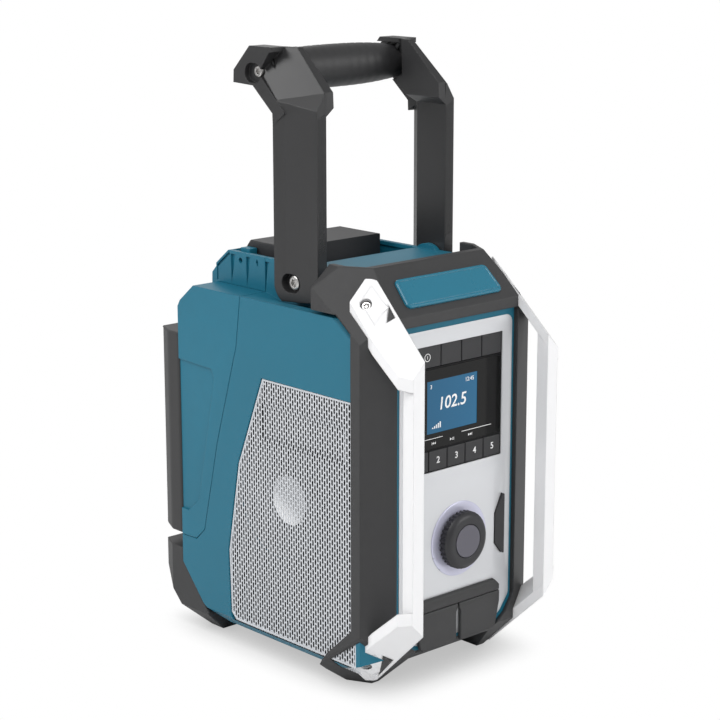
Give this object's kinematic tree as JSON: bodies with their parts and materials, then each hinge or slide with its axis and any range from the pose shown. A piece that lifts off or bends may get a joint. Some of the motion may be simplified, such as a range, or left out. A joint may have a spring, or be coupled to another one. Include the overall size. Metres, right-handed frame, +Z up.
{
  "type": "jobsite radio",
  "caption": "Portable jobsite radio with side speakers, front control panel with display and tuning knob, corner guards, folding top handle and rear battery door.",
  "frame": {"origin": "bottom centre of the box that holds the whole radio with its handle up", "axes": "+Z up, -Y out of the control panel, +X to the right seen from the front"},
  "size_m": [0.164, 0.268, 0.4402],
  "materials": {
    "casing_blue": "fine moulded texture, satin",
    "frame_grey": "matte, soft-touch rubber",
    "guard_white": "satin white plastic",
    "panel_silver": "satin silver-white paint",
    "trim_black": "satin black plastic",
    "key_dark": "matte rubber keys",
    "lens": "clear smoked window",
    "screen_blue": "backlit blue display",
    "grille_silver": "silver painted perforated sheet",
    "knob_grey": "satin dark grey",
    "ring_silver": "satin silver ring",
    "handle_grey": "satin dark grey, fine ribs",
    "grip_rubber": "matte soft grip",
    "inner_black": "matte moulded plastic",
    "steel": "zinc plated",
    "circuit_green": "solder-masked board",
    "cone_paper": "pressed paper cone",
    "bush_white": "acetal, smooth"
  },
  "bodies": {
    "radio_body": {"aux_jack": "inner_black", "badge_plate": "casing_blue", "battery_bay": "inner_black", "battery_terminal": "inner_black", "bumper_frame": "frame_grey", "bumper_lower_left": "frame_grey", "bumper_lower_right": "frame_grey", "control_board": "circuit_green", "control_fascia": "trim_black", "dc_inlet": "inner_black", "display_lens": "lens", "display_module": "screen_blue", "door_hinge_pin": "steel", "encoder_body": "inner_black", "front_panel": "panel_silver", "grille_left": "grille_silver", "grille_right": "grille_silver", "guard_left": "guard_white", "guard_right": "guard_white", "guard_screws": "steel", "knob_ring": "ring_silver", "main_board": "circuit_green", "main_housing": "casing_blue", "pivot_screws": "steel", "port_cover": "frame_grey", "speaker_basket_left": "inner_black", "speaker_basket_right": "inner_black", "speaker_surrounds": "grip_rubber", "usb_socket": "inner_black"},
    "handle": {"handle_leg_left": "handle_grey", "handle_leg_right": "handle_grey", "handle_grip": "grip_rubber", "handle_core": "steel", "grip_screws": "steel", "pivot_bushes": "bush_white"},
    "door": {"rear_door": "casing_blue", "door_crown": "casing_blue", "bumper_upper_left": "frame_grey", "bumper_upper_right": "frame_grey", "latch_pin": "steel"},
    "latch": {"door_latch": "trim_black"},
    "push_collar": {"encoder_collar": "steel"},
    "knob": {"encoder_shaft": "steel", "tuning_knob": "knob_grey", "knob_cap": "knob_grey"},
    "flap_left": {"port_flap_left": "frame_grey"},
    "flap_right": {"port_flap_right": "frame_grey"},
    "cone_left": {"speaker_cone_left": "cone_paper"},
    "cone_right": {"speaker_cone_right": "cone_paper"},
    "key_power": {"key_power": "key_dark"},
    "key_band": {"key_band": "key_dark"},
    "key_menu": {"key_menu": "key_dark"},
    "key_info": {"key_info": "key_dark"},
    "key_preset_1": {"key_preset_1": "key_dark"},
    "key_preset_2": {"key_preset_2": "key_dark"},
    "key_preset_3": {"key_preset_3": "key_dark"},
    "key_preset_4": {"key_preset_4": "key_dark"},
    "key_preset_5": {"key_preset_5": "key_dark"},
    "key_tune_down": {"key_tune_down": "key_dark"},
    "key_tune_up": {"key_tune_up": "key_dark"}
  },
  "joints": [
    {"name": "handle_fold", "type": "hinge", "parent": "radio_body", "child": "handle", "pos_m": [0, -0.0075, 0.2784], "axis": [1, 0, 0], "range_deg": [-85, 0]},
    {"name": "door_open", "type": "hinge", "parent": "radio_body", "child": "door", "pos_m": [0, 0.128, 0.0666], "axis": [-1, 0, 0], "range_deg": [0, 80]},
    {"name": "latch_lift", "type": "hinge", "parent": "door", "child": "latch", "pos_m": [0, 0.061, 0.284], "axis": [-1, 0, 0], "range_deg": [0, 50]},
    {"name": "knob_push", "type": "slide", "parent": "radio_body", "child": "push_collar", "axis": [0, 1, 0], "range_m": [0, 0.0005], "stiffness_N_per_m": 1500},
    {"name": "knob_spin", "type": "hinge", "parent": "push_collar", "child": "knob", "pos_m": [0, -0.11, 0.1019], "axis": [0, -1, 0], "continuous": true},
    {"name": "press_power", "type": "slide", "parent": "radio_body", "child": "key_power", "axis": [0, 1, 0], "range_m": [0, 0.001], "stiffness_N_per_m": 800},
    {"name": "press_band", "type": "slide", "parent": "radio_body", "child": "key_band", "axis": [0, 1, 0], "range_m": [0, 0.001], "stiffness_N_per_m": 800},
    {"name": "press_menu", "type": "slide", "parent": "radio_body", "child": "key_menu", "axis": [0, 1, 0], "range_m": [0, 0.001], "stiffness_N_per_m": 800},
    {"name": "press_info", "type": "slide", "parent": "radio_body", "child": "key_info", "axis": [0, 1, 0], "range_m": [0, 0.001], "stiffness_N_per_m": 800},
    {"name": "press_preset_1", "type": "slide", "parent": "radio_body", "child": "key_preset_1", "axis": [0, 1, 0], "range_m": [0, 0.001], "stiffness_N_per_m": 800},
    {"name": "press_preset_2", "type": "slide", "parent": "radio_body", "child": "key_preset_2", "axis": [0, 1, 0], "range_m": [0, 0.001], "stiffness_N_per_m": 800},
    {"name": "press_preset_3", "type": "slide", "parent": "radio_body", "child": "key_preset_3", "axis": [0, 1, 0], "range_m": [0, 0.001], "stiffness_N_per_m": 800},
    {"name": "press_preset_4", "type": "slide", "parent": "radio_body", "child": "key_preset_4", "axis": [0, 1, 0], "range_m": [0, 0.001], "stiffness_N_per_m": 800},
    {"name": "press_preset_5", "type": "slide", "parent": "radio_body", "child": "key_preset_5", "axis": [0, 1, 0], "range_m": [0, 0.001], "stiffness_N_per_m": 800},
    {"name": "press_tune_down", "type": "slide", "parent": "radio_body", "child": "key_tune_down", "axis": [0, 1, 0], "range_m": [0, 0.0008], "stiffness_N_per_m": 800},
    {"name": "press_tune_up", "type": "slide", "parent": "radio_body", "child": "key_tune_up", "axis": [0, 1, 0], "range_m": [0, 0.0008], "stiffness_N_per_m": 800},
    {"name": "flap_left_lift", "type": "hinge", "parent": "radio_body", "child": "flap_left", "pos_m": [0, -0.1075, 0.0528], "axis": [-1, 0, 0], "range_deg": [0, 100]},
    {"name": "flap_right_lift", "type": "hinge", "parent": "radio_body", "child": "flap_right", "pos_m": [0, -0.1075, 0.0528], "axis": [-1, 0, 0], "range_deg": [0, 100]},
    {"name": "cone_left_travel", "type": "slide", "parent": "radio_body", "child": "cone_left", "axis": [1, 0, 0], "range_m": [-0.002, 0.002], "stiffness_N_per_m": 1500},
    {"name": "cone_right_travel", "type": "slide", "parent": "radio_body", "child": "cone_right", "axis": [1, 0, 0], "range_m": [-0.002, 0.002], "stiffness_N_per_m": 1500}
  ]
}
